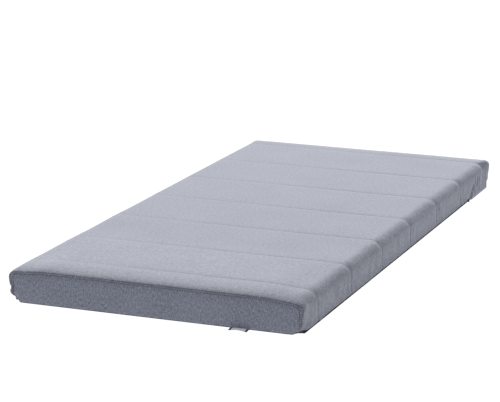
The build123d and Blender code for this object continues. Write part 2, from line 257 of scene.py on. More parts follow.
def zip_end_folds(x, y, z):
    """Folds that fan up the right side from the closed end of the zip."""
    relief = np.zeros(np.broadcast(y, z).shape)
    for offset, lean, bottom, top, depth, width in (
        (0.000, 1.15, 0.000, 0.066, 0.0036, 0.0065),
        (0.058, 0.25, 0.012, 0.084, 0.0022, 0.0055),
        (0.088, 0.30, 0.026, 0.080, 0.0026, 0.0060),
        (0.125, 0.05, 0.010, 0.078, 0.0013, 0.0070),
    ):
        line = ZIP_END_Y + offset + lean * z
        along = smooth(bottom, bottom + 0.012, z) * (1 - smooth(top - 0.022, top, z))
        relief -= depth * bump(y - line, width) * along
        relief += 0.6 * depth * bump(y - line - 1.8 * width, width) * along
    return relief * smooth(HALF_W - 0.05, HALF_W - 0.02, x)


def cover_points(u, t, slack):
    """Places and normals of the cover's outer face at stations u and t."""
    y, turn, tuck = along_bed(t)
    x, z, normal_x, normal_z, arc = section(u, y)
    inwards = roll_depth(u) * (1 - np.cos(turn)) + SEAM_TUCK * np.sin(tuck)
    tilt = turn + tuck
    place = np.stack([x - normal_x * inwards, y, z - normal_z * inwards], -1)
    normal = np.stack(
        [normal_x * np.cos(tilt), np.sign(t) * np.sin(tilt), normal_z * np.cos(tilt)], -1
    )
    on_fold = 1 - smooth(3.0, 3.25, np.abs(u))
    relief = quilting_relief(arc, y, z) + slack_relief(arc, y, z) + side_bulge(u, y, z)
    relief += zip_end_folds(x, y, z) + foam_joint_crease(x, y, z) * (z < 0.08) + slack
    relief = relief * on_fold * (1 - smooth(1.6, 2.6, np.abs(t)))
    return draw_in_corners(place + normal * relief[..., None]), normal


# ---------------------------------------------------------------- meshes


def new_object(name, vertices, faces):
    mesh = bpy.data.meshes.new(name)
    mesh.vertices.add(len(vertices))
    mesh.vertices.foreach_set("co", np.asarray(vertices, np.float32).ravel())
    mesh.loops.add(faces.size)
    mesh.loops.foreach_set("vertex_index", np.asarray(faces, np.int32).ravel())
    mesh.polygons.add(len(faces))
    mesh.polygons.foreach_set("loop_start", np.arange(len(faces), dtype=np.int32) * faces.shape[1])
    mesh.update(calc_edges=True)
    mesh.validate()
    mesh.polygons.foreach_set("use_smooth", np.ones(len(mesh.polygons), bool))
    piece = bpy.data.objects.new(name, mesh)
    bpy.context.scene.collection.objects.link(piece)
    return piece


def grid_faces(rows, columns, closed=False):
    """Quads of a grid of points, row by row; closed joins its last column to its first."""
    index = np.arange(rows * columns).reshape(rows, columns)
    across = np.roll(index, -1, 1) if closed else index[:, 1:]
    here = index if closed else index[:, :-1]
    return np.stack([here[:-1], here[1:], across[1:], across[:-1]], -1).reshape(-1, 4)


def mirrored(half):
    """Stations from 0 upwards, and the same below 0, in order."""
    return np.concatenate([-half[:0:-1], half])


def run_along(points):
    """The distance along a line of points, at each of them."""
    steps = np.linalg.norm(np.diff(points, axis=0), axis=1)
    return np.concatenate([[0.0], np.cumsum(steps)])


def closed_sheet(name, outer, inner):
    """A closed piece between two matching grids of points."""
    rows, columns = outer.shape[:2]
    vertices = np.concatenate([outer.reshape(-1, 3), inner.reshape(-1, 3)])
    front = grid_faces(rows, columns)
    middle_row, middle_column = rows // 2, columns // 2
    step_a = outer[middle_row + 1, middle_column] - outer[middle_row, middle_column]
    step_b = outer[middle_row, middle_column + 1] - outer[middle_row, middle_column]
    out = outer[middle_row, middle_column] - inner[middle_row, middle_column]
    if np.dot(np.cross(step_a, step_b), out) < 0:  # turned, to face away from the inner grid
        front = front[:, ::-1]
    index = np.arange(rows * columns).reshape(rows, columns)
    loop = np.concatenate([index[0, :-1], index[:-1, -1], index[-1, :0:-1], index[:0:-1, 0]])
    after = np.roll(loop, -1)
    edge_uses = {(a, b) for a, b in zip(front.ravel(), np.roll(front, -1, 1).ravel())}
    if (loop[0], after[0]) in edge_uses:  # turned, to run against the front's edges
        loop, after = after, loop
    back = front[:, ::-1] + rows * columns
    rim = np.stack([loop, after, after + rows * columns, loop + rows * columns], -1)
    return new_object(name, vertices, np.concatenate([front, back, rim]))


def swept(name, path, outward, profile):
    """A closed profile of (out, up) offsets carried along a level path; profile may vary along it."""
    profile = np.broadcast_to(profile, (len(path), *np.shape(profile)[-2:]))
    plan = path[:, None] + outward[:, None] * profile[..., :1]
    points = draw_in_corners(np.concatenate([plan, profile[..., 1:]], -1))
    sides = points.shape[1]
    faces = grid_faces(len(path), sides, closed=True)
    caps = []
    for ring in (0, len(path) - 1):
        order = np.arange(sides) + ring * sides
        order = order if ring == 0 else order[::-1]
        caps += [[order[0], order[i], order[i + 1], order[i + 1]] for i in range(1, sides - 1)]
    return new_object(name, points.reshape(-1, 3), np.concatenate([faces, np.array(caps)]))


def spaced_along(points, normals, pitch):
    """Places, directions and normals every pitch along a line of points."""
    run = run_along(points)
    marks = np.arange(pitch / 2, run[-1], pitch)

    def at(values, where):
        return np.stack([np.interp(where, run, values[:, k]) for k in range(3)], -1)

    ahead = at(points, marks + pitch / 4) - at(points, marks - pitch / 4)
    ahead /= np.linalg.norm(ahead, axis=1, keepdims=True)
    up = at(normals, marks)
    up -= ahead * (up * ahead).sum(1, keepdims=True)
    up /= np.linalg.norm(up, axis=1, keepdims=True)
    return at(points, marks), ahead, up


def stitches(name, lines, pitch, length, thickness):
    """Separate stitches along lines of (points, normals), each a low dome with sunk ends."""
    rings, sides = 6, 6
    share = np.linspace(-1, 1, rings)[:, None]
    angle = np.linspace(0, 2 * math.pi, sides, endpoint=False)[None, :]
    girth = thickness / 2 * np.sqrt(np.clip(1 - share**4, 0.06, 1))
    along = share * length / 2 + 0 * angle
    aside = girth * np.cos(angle)
    above = girth * np.sin(angle) + thickness * (0.3 - 0.9 * share**4)
    template = np.stack([along, aside, above], -1).reshape(-1, 3)
    shell = grid_faces(rings, sides, closed=True)
    ends = []
    for ring, flip in ((0, 1), (rings - 1, -1)):
        order = (np.arange(sides) + ring * sides)[::flip]
        ends += [[order[0], order[1], order[2], order[3]], [order[0], order[3], order[4], order[5]]]
    pattern = np.concatenate([shell, np.array(ends)])
    vertices, faces, count = [], [], 0
    for points, normals in lines:
        places, ahead, up = spaced_along(points, normals, pitch)
        aside_axis = np.cross(up, ahead)
        cloud = places[:, None] + sum(
            template[None, :, k : k + 1] * axis[:, None]
            for k, axis in enumerate((ahead, aside_axis, up))
        )
        vertices.append(cloud.reshape(-1, 3))
        start = count + np.arange(len(places))[:, None, None] * len(template)
        faces.append((pattern[None] + start).reshape(-1, 4))
        count += len(places) * len(template)
    return new_object(name, np.concatenate(vertices), np.concatenate(faces))


# ---------------------------------------------------------------- materials


class Nodes:
    """A material's node tree, with short calls for the nodes that the materials below share."""

    def __init__(self, name):
        self.material = bpy.data.materials.new(name)
        self.material.use_nodes = True
        self.tree = self.material.node_tree
        self.shader = self.tree.nodes["Principled BSDF"]
        self.coordinates = self.add("ShaderNodeTexCoord").outputs["Object"]

    def add(self, kind, **settings):
        node = self.tree.nodes.new(kind)
        for key, value in settings.items():
            setattr(node, key, value)
        return node

    def link(self, source, target):
        self.tree.links.new(source, target)

    def noise(self, rates, detail=2.0, roughness=0.5):
        """Noise with its own number of features per metre along X, Y and Z."""
        mapping = self.add("ShaderNodeMapping")
        mapping.inputs["Scale"].default_value = rates
        self.link(self.coordinates, mapping.inputs["Vector"])
        node = self.add("ShaderNodeTexNoise")
        node.inputs["Scale"].default_value = 1.0
        node.inputs["Detail"].default_value = detail
        node.inputs["Roughness"].default_value = roughness
        self.link(mapping.outputs["Vector"], node.inputs["Vector"])
        return node.outputs["Fac"]

    def combine(self, operation, first, second):
        node = self.add("ShaderNodeMath", operation=operation)
        for value, socket in ((first, node.inputs[0]), (second, node.inputs[1])):
            if isinstance(value, (int, float)):
                socket.default_value = value
            else:
                self.link(value, socket)
        return node.outputs[0]

    def weighted(self, *terms):
        """The sum of (output, weight) pairs."""
        total = self.combine("MULTIPLY", *terms[0])
        for output, weight in terms[1:]:
            total = self.combine("ADD", total, self.combine("MULTIPLY", output, weight))
        return total

    def ramp(self, source, *stops):
        node = self.add("ShaderNodeValToRGB")
        elements = node.color_ramp.elements
        for _ in stops[2:]:
            elements.new(0.5)
        for element, (position, colour) in zip(elements, stops):
            element.position = position
            element.color = (*colour, 1.0)
        self.link(source, node.inputs["Fac"])
        return node.outputs["Color"]

    def finish(self, colour, height, bump_distance, **sockets):
        """Links a colour and a height, and sets the shader's constant values."""
        self.link(colour, self.shader.inputs["Base Color"])
        node = self.add("ShaderNodeBump")
        node.inputs["Strength"].default_value = 0.6
        node.inputs["Distance"].default_value = bump_distance
        self.link(height, node.inputs["Height"])
        self.link(node.outputs["Normal"], self.shader.inputs["Normal"])
        for key, value in sockets.items():
            self.shader.inputs[key.replace("_", " ")].default_value = value
        return self.material


def melange_fabric(name, along, across, dark, light):
    """Melange weave: streaks of dark and pale yarn along one axis, a fine cross yarn and slow
    changes of shade. along and across are (X, Y, Z) shares of the streaks' long and short way."""
    nodes = Nodes(name)
    long_way, short_way = np.array(along), np.array(across)
    streaks = nodes.noise(tuple(110 * long_way + 260 * short_way), 3.0, 0.6)
    flecks = nodes.noise(tuple(200 * long_way + 400 * short_way), 2.0, 0.6)
    cross = nodes.noise(tuple(330 * long_way + 60 * short_way), 2.0, 0.5)
    slow = nodes.noise((7.0, 7.0, 9.0), 3.0, 0.5)
    shade = nodes.weighted((streaks, 0.50), (flecks, 0.28), (cross, 0.15), (slow, 0.07))
    colour = nodes.ramp(shade, (0.36, dark), (0.64, light))
    return nodes.finish(
        colour,
        nodes.weighted((streaks, 0.5), (flecks, 0.3), (cross, 0.4)),
        0.0006,
        Roughness=0.86,
        Sheen_Weight=0.6,
        Sheen_Roughness=0.35,
        Sheen_Tint=(0.86, 0.88, 1.0, 1.0),
        Specular_IOR_Level=0.25,
    )


def plain_cloth(name, dark, light, rates, roughness=0.85, sheen=0.1):
    """Even cloth or thread with a soft grain."""
    nodes = Nodes(name)
    grain = nodes.noise(rates, 3.0, 0.6)
    slow = nodes.noise((12.0, 12.0, 12.0), 2.0)
    colour = nodes.ramp(nodes.weighted((grain, 0.7), (slow, 0.3)), (0.38, dark), (0.62, light))
    return nodes.finish(colour, grain, 0.0003, Roughness=roughness, Sheen_Weight=sheen)


def foam(name, dark, light, cells):
    """Open-cell foam: small round pores and a slow change of shade."""
    nodes = Nodes(name)
    pores = nodes.add("ShaderNodeTexVoronoi")
    pores.inputs["Scale"].default_value = cells
    nodes.link(nodes.coordinates, pores.inputs["Vector"])
    slow = nodes.noise((9.0, 9.0, 9.0), 3.0)
    shade = nodes.weighted((pores.outputs["Distance"], 0.5), (slow, 0.6))
    colour = nodes.ramp(shade, (0.25, dark), (0.65, light))
    return nodes.finish(colour, pores.outputs["Distance"], 0.0008, Roughness=0.95)


def dotted_grip(name):
    """Dark non-slip cloth with rows of small raised dots."""
    nodes = Nodes(name)
    dots = nodes.add("ShaderNodeTexVoronoi", feature="F1")
    dots.inputs["Scale"].default_value = 110.0
    dots.inputs["Randomness"].default_value = 0.0
    nodes.link(nodes.coordinates, dots.inputs["Vector"])
    round_dots = nodes.combine("LESS_THAN", dots.outputs["Distance"], 0.27)
    grain = nodes.noise((260.0, 260.0, 260.0), 3.0, 0.6)
    shade = nodes.weighted((round_dots, 0.5), (grain, 0.5))
    colour = nodes.ramp(shade, (0.2, (0.030, 0.031, 0.037)), (0.8, (0.011, 0.011, 0.013)))
    return nodes.finish(colour, nodes.weighted((round_dots, 1.0), (grain, 0.2)), 0.0006, Roughness=0.8)


def dark_metal(name):
    """Black enamel on a small casting, rubbed slightly at random."""
    nodes = Nodes(name)
    wear = nodes.noise((900.0, 900.0, 900.0), 4.0, 0.7)
    colour = nodes.ramp(wear, (0.55, (0.012, 0.012, 0.013)), (0.75, (0.07, 0.07, 0.075)))
    return nodes.finish(colour, wear, 0.00005, Roughness=0.38, Metallic=0.6)


def label_weave(name, middle_x, half_pale):
    """A dark woven label with one plain pale field in its middle."""
    nodes = Nodes(name)
    split = nodes.add("ShaderNodeSeparateXYZ")
    nodes.link(nodes.coordinates, split.inputs["Vector"])
    away = nodes.combine("ABSOLUTE", nodes.combine("SUBTRACT", split.outputs["X"], middle_x), 0.0)
    pale = nodes.combine("LESS_THAN", away, half_pale)
    grain = nodes.noise((900.0, 200.0, 200.0), 3.0, 0.6)
    shade = nodes.weighted((pale, 0.8), (grain, 0.2))
    colour = nodes.ramp(
        shade, (0.05, (0.010, 0.010, 0.013)), (0.2, (0.02, 0.02, 0.025)), (0.9, (0.72, 0.72, 0.73))
    )
    return nodes.finish(colour, grain, 0.0002, Roughness=0.6, Sheen_Weight=0.2)


DARK_YARN, PALE_YARN = (0.074, 0.081, 0.102), (0.240, 0.252, 0.298)
END_DARK_YARN, END_PALE_YARN = (0.075, 0.082, 0.107), (0.250, 0.265, 0.330)
DARK_THREAD, PALE_THREAD = (0.12, 0.127, 0.152), (0.185, 0.195, 0.235)

TOP_FABRIC = melange_fabric("cover_fabric_top", (1, 0, 1), (0, 1, 0), DARK_YARN, PALE_YARN)
END_FABRIC = melange_fabric("cover_fabric_end", (0, 0, 1), (1, 0, 0), END_DARK_YARN, END_PALE_YARN)
QUILT_THREAD = plain_cloth("quilting_thread", DARK_THREAD, PALE_THREAD, (600.0,) * 3, 0.85, 0.25)
SEAM_THREAD = plain_cloth("seam_thread", (0.012, 0.013, 0.022), (0.03, 0.032, 0.05), (600.0,) * 3)
WADDING = plain_cloth("wadding", (0.74, 0.74, 0.73), (0.88, 0.88, 0.87), (90.0, 90.0, 200.0), 0.95)
BACKING = plain_cloth("backing", (0.55, 0.55, 0.54), (0.70, 0.70, 0.69), (300.0,) * 3)
LINING = plain_cloth("lining", (0.70, 0.70, 0.68), (0.82, 0.82, 0.80), (400.0, 150.0, 400.0))
MEMORY_FOAM = foam("memory_foam", (0.62, 0.58, 0.40), (0.84, 0.80, 0.62), 420.0)
BASE_FOAM = foam("base_foam", (0.50, 0.55, 0.60), (0.72, 0.76, 0.80), 300.0)
UNDERSIDE = dotted_grip("underside_fabric")
ZIP_TAPE = plain_cloth("zip_tape", (0.010, 0.010, 0.012), (0.026, 0.026, 0.030), (900.0,) * 3, 0.8)
ZIP_COIL = plain_cloth("zip_coil", (0.008, 0.008, 0.010), (0.03, 0.03, 0.034), (1500.0,) * 3, 0.4, 0.0)
METAL = dark_metal("zip_metal")
CARE_LABEL = plain_cloth("care_label", (0.70, 0.70, 0.70), (0.85, 0.85, 0.85), (500.0,) * 3, 0.5)


def place(piece, material, slot, node):
    """Gives a new piece its material, hangs it on the mattress body, and hides the CAD part it stands
    in for.
    """
    piece.data.materials.append(material)
    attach(piece, "mattress")
    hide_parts(node)
    return piece


# ---------------------------------------------------------------- cover panels


def fill(low, high, step):
    """Evenly spaced values from low up to high, high left out."""
    count = max(1, round((high - low) / step))
    return np.linspace(low, high, count, endpoint=False)


def section_stations(step):
    """Stations u from one lip to the other, at about that spacing."""
    top = fill(0, 1, step / (HALF_W - EDGE_W))
    edge = fill(1, 2, 0.75 * step / (EDGE_W * math.pi / 2))
    side = fill(2, 3, 0.7 * step / (HEIGHT - EDGE_H))
    return mirrored(np.concatenate([top, edge, side, fill(3, 3.5, 0.2), [3.5, 3.75, 4.0]]))


def length_stations(step, near_rows, fold_step):
    """Stations t from one end seam to the other, closer together beside each stitch row and where
    the folds fan out from the end of the zip."""
    straight = HALF_L - SET_BACK - ROLL_L
    marks = {-straight}
    for row in QUILT_YS:
        marks |= {row + side * off for off in near_rows for side in (-1, 1)}
    marks |= set(np.arange(ZIP_END_Y - 0.02, ZIP_END_Y + 0.17, fold_step))
    marks = np.array(sorted(m for m in marks if abs(m) <= straight) + [straight])
    straight_run = np.concatenate([fill(a, b, step) for a, b in zip(marks[:-1], marks[1:])])
    roll = np.concatenate([np.linspace(1, 2, 8), np.linspace(2, 3, 5)[1:]])
    return np.concatenate([-roll[::-1], straight_run[1:] / straight, roll])


SIM_FRAMES = 20
SLACK_LIMIT = 0.003
SLACK_SHARE = 0.10  # of the simulated slack, for a cover that is nearly taut


def cloth_slack(u, t):
    """How far a simulated cloth, a little too long for its pinned stitch rows, hem and seams,
    stands off the cover at stations u and t, in metres."""
    grid_u, grid_t = np.meshgrid(u, t, indexing="ij")
    points, normals = cover_points(grid_u, grid_t, 0.0)
    on_row = np.min([np.abs(along_bed(grid_t)[0] - row) for row in QUILT_YS], axis=0) < 0.001
    held = on_row | (np.abs(grid_u) >= 3) | (np.abs(grid_t) >= 1)
    cloth = new_object("cover_slack", points.reshape(-1, 3), grid_faces(len(u), len(t)))
    pins = cloth.vertex_groups.new(name="held")
    pins.add(np.flatnonzero(held).tolist(), 1.0, "REPLACE")
    modifier = cloth.modifiers.new("cloth", "CLOTH")
    modifier.point_cache.frame_start, modifier.point_cache.frame_end = 1, SIM_FRAMES
    settings = modifier.settings
    settings.quality = 6
    settings.mass = 0.25
    settings.tension_stiffness = settings.compression_stiffness = 12
    settings.bending_stiffness = 0.4
    settings.vertex_group_mass = "held"
    settings.shrink_min = settings.shrink_max = -0.012
    settings.use_pressure = True
    settings.uniform_pressure_force = 2
    settings.effector_weights.gravity = 0
    for number in range(1, SIM_FRAMES + 1):
        bpy.context.scene.frame_set(number)
    settled = cloth.evaluated_get(bpy.context.evaluated_depsgraph_get()).data
    places = np.empty(points.size, np.float32)
    settled.vertices.foreach_get("co", places)
    off = ((places.reshape(points.shape) - points) * normals).sum(-1)
    mesh = cloth.data
    bpy.data.objects.remove(cloth)
    bpy.data.meshes.remove(mesh)
    bpy.context.scene.frame_set(1)
    return SLACK_SHARE * np.clip(off, -SLACK_LIMIT, SLACK_LIMIT)


def resampled(field, u_from, t_from, u_to, t_to):
    """A field on one grid of stations read on another."""
    rows = np.stack([np.interp(t_to, t_from, line) for line in field])
    return np.stack([np.interp(u_to, u_from, column) for column in rows.T], -1)


SIM_U, SIM_T = section_stations(0.012), length_stations(0.012, (0.0,), 0.012)
SLACK = cloth_slack(SIM_U, SIM_T)


def cover_grid(u, t):
    slack = resampled(SLACK, SIM_U, SIM_T, u, t)
    return cover_points(u[:, None] + 0 * t[None], t[None] + 0 * u[:, None], slack)


NEAR_ROW = (0.0, 0.0012, 0.003, 0.006, 0.010, 0.016, 0.024)
FINE_U, FINE_T = section_stations(0.0085), length_stations(0.0095, NEAR_ROW, 0.004)
FINE_POINTS, FINE_NORMALS = cover_grid(FINE_U, FINE_T)

END_HALF_W = HALF_W - ROLL_SIDE - SEAM_TUCK
END_TOP = HEIGHT - HEAD_DROP - ROLL_TOP - SEAM_TUCK


def seam_outline(side, across, inset=0.0):
    """Half of a line on an end panel, inset from its seam, from the middle of its top down to the
    floor, on the right (across 1) or the left (-1): distance from the middle, z and the run."""
    u = across * np.concatenate([np.linspace(0, 1, 40), np.linspace(1, 2, 40)[1:], [2.5, 3.2]])
    seam_y = side * (HALF_L - SET_BACK - SEAM_TUCK)
    x, z, normal_x, normal_z, _ = section(u, np.full(len(u), seam_y))
    inset = inset + roll_depth(u) + SEAM_TUCK
    line = np.stack([np.abs(x - inset * normal_x), z - inset * normal_z], -1)
    line[-1, 1] = 0.0
    return line, run_along(line)


def distance_in(outline, x, z):
    """How far a point of an end panel is inside its outline."""
    a, b = outline[:-1], outline[1:]
    point = np.stack([np.abs(x), z], -1)[..., None, :]
    share = ((point - a) * (b - a)).sum(-1) / ((b - a) ** 2).sum(-1)
    nearest = a + np.clip(share, 0, 1)[..., None] * (b - a)
    return np.linalg.norm(point - nearest, axis=-1).min(-1)


def end_points(side, columns, rows):
    """Places and normals of an end panel. rows: 0 its top edge, 1 the hem, 2 the end of the lip."""
    hem = HANGING_HEM if side < 0 else CLOSED_HEM
    x = columns[None, :] + 0 * rows[:, None]
    outlines = [seam_outline(side, across)[0] for across in (-1, 1)]
    top = np.where(x < 0, *[np.interp(np.abs(x), line[:, 0], line[:, 1]) for line in outlines])
    share = np.clip(rows, 0, 1)[:, None]
    fold = np.clip(2 * (rows - 1), 0, 1)[:, None] * math.pi / 2
    lip = np.clip(2 * (rows - 1.5), 0, 1)[:, None] * LIP_W
    z = top + (hem + LIP_R - top) * share - LIP_R * np.sin(fold)
    edge = np.where(x < 0, *[distance_in(line, x, z) for line in outlines])
    tuck = (SET_BACK + SEAM_TUCK) * (1 - smooth(0.001, 0.018, edge))
    puff = END_PUFF * smooth(0.0, 0.035, edge) * smooth(0.0, 0.03, z)
    relief = 0.0009 * ripples(x, z, 0.05, 0.16, 9, 21 + side) * smooth(0.0, 0.02, edge)
    relief += 0.0006 * ripples(x, 0.4 * z, 0.02, 0.05, 8, 25 + side) * bump(edge - 0.006, 0.012)
    relief += foam_joint_crease(x, side * HALF_L + 0 * x, z)
    turned_in = LIP_R * (1 - np.cos(fold)) + lip
    at_hem = END_HEM_IN * (1 - smooth(0.008, 0.022, z))
    out = puff + relief * (fold <= 0) - tuck - turned_in - at_hem
    points = np.stack([x, side * (HALF_L + out), z], -1)
    normals = np.stack([0 * x, side * np.cos(fold) + 0 * x, -np.sin(fold) + 0 * x], -1)
    return draw_in_corners(points), normals


def end_stations(step):
    """An end panel's stations across, as x, and down, as end_points reads them."""
    straight = HALF_W - END_EDGE_W
    corner = END_HALF_W - straight
    arc = straight + corner * np.sin(np.linspace(0, math.pi / 2, 10))
    columns = mirrored(np.concatenate([fill(0, straight, step), arc]))
    near_top = [0, 0.012, 0.028, 0.048, 0.072]
    below = fill(0.1, 1.0, step / (END_TOP - ZIP_HEM))
    return columns, np.concatenate([near_top, below, [1.0, 1.25, 1.5, 1.75, 2.0]])


END_COLUMNS, END_ROWS = end_stations(0.0075)


def sunk(points, normals, depth):
    return points - normals * depth


def top_panel():
    inner = sunk(FINE_POINTS, FINE_NORMALS, FABRIC_T)
    piece = closed_sheet("top_panel_cloth", FINE_POINTS, inner)
    place(piece, TOP_FABRIC, "cover_fabric", "top_panel")


def end_panel(side, end):
    points, normals = end_points(side, END_COLUMNS, END_ROWS)
    piece = closed_sheet(f"{end}_panel_cloth", points, sunk(points, normals, FABRIC_T))
    place(piece, END_FABRIC, "cover_fabric", f"{end}_panel")


ENDS = ((-1, "foot_end"), (1, "head_end"))

top_panel()
for side, end in ENDS:
    end_panel(side, end)

# ---------------------------------------------------------------- padding under the cover


def padding():
    """Wadding and backing behind each panel. They stop just short of its hem and seams."""
    t = length_stations(0.012, (0.0, 0.004, 0.008), 0.004)
    areas = [("top", cover_grid(SIM_U[np.abs(SIM_U) < 2.98], t[np.abs(t) < 1]))]
    rows = END_ROWS[(END_ROWS > 0.02) & (END_ROWS < 0.98)]
    areas += [(end, end_points(side, END_COLUMNS * 0.99, rows)) for side, end in ENDS]
    for kind, material, thickness, gap in (
        ("wadding", WADDING, 0.0028, 0.0010),
        ("backing", BACKING, 0.0004, 0.0),
    ):
        depth = HALF_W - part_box(f"top_{kind}")[1].x + gap
        for area, (points, normals) in areas:
            outer = sunk(points, normals, depth)
            inner = sunk(points, normals, depth + thickness)
            piece = closed_sheet(f"{area}_{kind}_pad", outer, inner)
            place(piece, material, kind, f"{area}_{kind}")


padding()


END_GAP = 0.0006  # between the core and each end's backing
LINING_T = 0.0006


def inner_curve(y, depth, low_z):
    """The cover's cross-section at y, at a depth below it and no lower than low_z."""
    half = [np.linspace(0, 1, 24), np.linspace(1, 2, 9)[1:], np.linspace(2, 2.9, 5)[1:]]
    x, z, normal_x, normal_z, _ = section(mirrored(np.concatenate(half)), y)
    return np.stack([x - depth * normal_x, np.maximum(z - depth * normal_z, low_z + 0.002)], -1)


def block(depth, low_z, high_z):
    """Rings of points round a soft block inside the cover, from one end to the other."""
    half_l = HALF_L - depth - END_GAP
    ys = half_l * np.sin(np.linspace(-math.pi / 2, math.pi / 2, 90))
    rings = []
    for y in ys:
        upper = inner_curve(y, depth, low_z)
        upper[:, 1] = np.minimum(upper[:, 1], high_z - 0.0004 * np.abs(upper[:, 0]))
        past = max(0.0, abs(y) - (half_l - CORE_CORNER_R))
        reach = HALF_W - depth - CORE_CORNER_R + math.sqrt(max(0.0, CORE_CORNER_R**2 - past**2))
        upper[:, 0] *= reach / (HALF_W - depth)
        lower = np.stack([upper[::-1, 0], np.full(len(upper), low_z)], -1)
        ring = np.concatenate([upper, lower])
        rings.append(np.stack([ring[:, 0], np.full(len(ring), y), ring[:, 1]], -1))
    return draw_in_corners(np.array(rings))


def closed_tube(rings):
    """Vertices and faces of a closed block through rings whose halves match point for point."""
    count, size = rings.shape[:2]
    faces = [grid_faces(count, size, closed=True)]
    half = np.arange(size // 2 - 1)
    for ring in (0, count - 1):
        cap = np.stack([half, half + 1, size - 2 - half, size - 1 - half], -1) + ring * size
        faces.append(cap[:, ::-1] if ring == 0 else cap)
    return rings.reshape(-1, 3), np.concatenate(faces)


def core():
    """Both foam slabs, and the lining round them: an outer and an inner skin."""
    for node, material, slot in (
        ("memory_foam_layer", MEMORY_FOAM, "memory_foam"),
        ("base_foam_layer", BASE_FOAM, "base_foam"),
    ):
        low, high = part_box(node)
        rings = block(HALF_W - high.x, low.z, high.z)
        piece = place(new_object(f"{node}_slab", *closed_tube(rings)), material, slot, node)
    low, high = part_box("core_lining")
    outer, inner = [
        closed_tube(block(HALF_W - high.x + thick, low.z + thick, high.z - thick))
        for thick in (0, LINING_T)
    ]
    vertices = np.concatenate([outer[0], inner[0]])
    faces = np.concatenate([outer[1], inner[1][:, ::-1] + len(outer[0])])
    piece = place(new_object("core_lining_bag", vertices, faces), LINING, "lining", "core_lining")


core()

# ---------------------------------------------------------------- underside and zip


def zip_route(inset, radius, step, end_y):
    """The way of the zip, inset from the cover's outline: down the left side from end_y, round the
    foot end and up the right side, as points and outward directions."""
    half_w, half_l = HALF_W - inset, HALF_L - inset
    bend_x, bend_y = half_w - radius, radius - half_l
    runs = (
        ((-half_w, end_y), (-half_w, bend_y), (-1, 0)),
        ((-bend_x, -half_l), (bend_x, -half_l), (0, -1)),
        ((half_w, bend_y), (half_w, end_y), (1, 0)),
    )
    bends = (((-bend_x, bend_y), math.pi), ((bend_x, bend_y), 1.5 * math.pi))
    points, outward = [], []
    for number, (start, end, out) in enumerate(runs):
        share = np.linspace(0, 1, max(2, round(math.dist(start, end) / step)))[:, None]
        points.append(np.array(start) * (1 - share) + np.array(end) * share)
        outward.append(np.repeat([out], len(share), 0))
        if number < len(bends):
            centre, first = bends[number]
            count = max(6, round(radius * math.pi / 2 / step))
            angle = first + np.linspace(0, math.pi / 2, count + 2)[1:-1]
            out = np.stack([np.cos(angle), np.sin(angle)], -1)
            points.append(np.array(centre) + radius * out)
            outward.append(out)
    return np.concatenate(points), np.concatenate(outward)


UNDERSIDE_REACH = 0.002  # how much further the underside goes at each side, to meet the tapes
UNDERSIDE_R = 0.028
TAPE_IN = HALF_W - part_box("zip_upper_tape")[1].x
TAPE_R = 0.0259
TAPE_T = 0.0006
COIL_PITCH = 0.0015


def underside():
    """The flat dark sheet, its corners rounded and drawn in with the cover's."""
    low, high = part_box("underside_panel")
    half_w, half_l, radius = high.x + UNDERSIDE_REACH, high.y, UNDERSIDE_R
    straight = half_w - radius
    arc = straight + radius * np.sin(np.linspace(0, math.pi / 2, 9))
    columns = mirrored(np.concatenate([fill(0, straight, 0.016), arc]))
    edge_share = np.array([0.99, 0.994, 0.9965, 0.9985, 1.0])
    rows = np.concatenate([-edge_share[::-1], fill(-0.98, 0.98, 0.016), [0.98], edge_share])
    past = np.clip(np.abs(columns) - straight, 0, radius)
    reach = half_l - radius + np.sqrt(np.maximum(radius**2 - past**2, 0))
    x = columns[:, None] + 0 * rows[None]
    y = reach[:, None] * rows[None]
    outer = draw_in_corners(np.stack([x, y, 0 * x], -1))
    inner = outer + np.array([0, 0, high.z - low.z])
    piece = closed_sheet("underside_panel_cloth", outer, inner)
    place(piece, UNDERSIDE, "underside_fabric", "underside_panel")


def tape(node):
    """A flat band on edge along the zip's route."""
    low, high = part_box(node)
    points, outward = zip_route(TAPE_IN, TAPE_R, 0.02, high.y)
    heights = np.linspace(low.z, high.z, 5)
    face = np.stack([0 * heights, heights], -1)
    profile = np.concatenate([face, (face - np.array([TAPE_T, 0]))[::-1]])
    piece = swept(f"{node}_band", points, outward, profile)
    place(piece, ZIP_TAPE, "zip_tape", node)


def coil(node):
    """One row of the chain: a ridge for every turn of the coil."""
    low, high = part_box(node)
    samples = 3
    points, outward = zip_route(TAPE_IN, TAPE_R, COIL_PITCH / samples, high.y)
    thick = TAPE_IN - (HALF_W - high.x)
    turn = np.array([0.0, 1.0, 0.55])[np.arange(len(points)) % samples][:, None]
    centre_z, half_h = (low.z + high.z) / 2, (high.z - low.z) / 2
    angle = np.linspace(0, 2 * math.pi, 6, endpoint=False)[None, :]
    out = thick / 2 * (1 + (0.72 + 0.28 * turn) * np.cos(angle))
    up = centre_z + half_h * (0.80 + 0.20 * turn) * np.sin(angle)
    piece = swept(f"{node}_turns", points, outward, np.stack([out, up], -1))
    place(piece, ZIP_COIL, "zip_coil", node)


underside()
for node in ("zip_upper_tape", "zip_lower_tape"):
    tape(node)
for node in ("zip_upper_coil", "zip_lower_coil"):
    coil(node)

# ---------------------------------------------------------------- threads

QUILT_STITCH = (0.0045, 0.0036, 0.0009)  # pitch, length and thickness
SEAM_STITCH = (0.0068, 0.0040, 0.0018)
HEM_STITCH = (0.0042, 0.0032, 0.0008)
TAPE_STITCH = (0.0042, 0.0032, 0.0006)
SEAM_ROW_IN = 0.0040  # how far inside its seam an end panel's row runs
STITCH_SINK = 0.00045


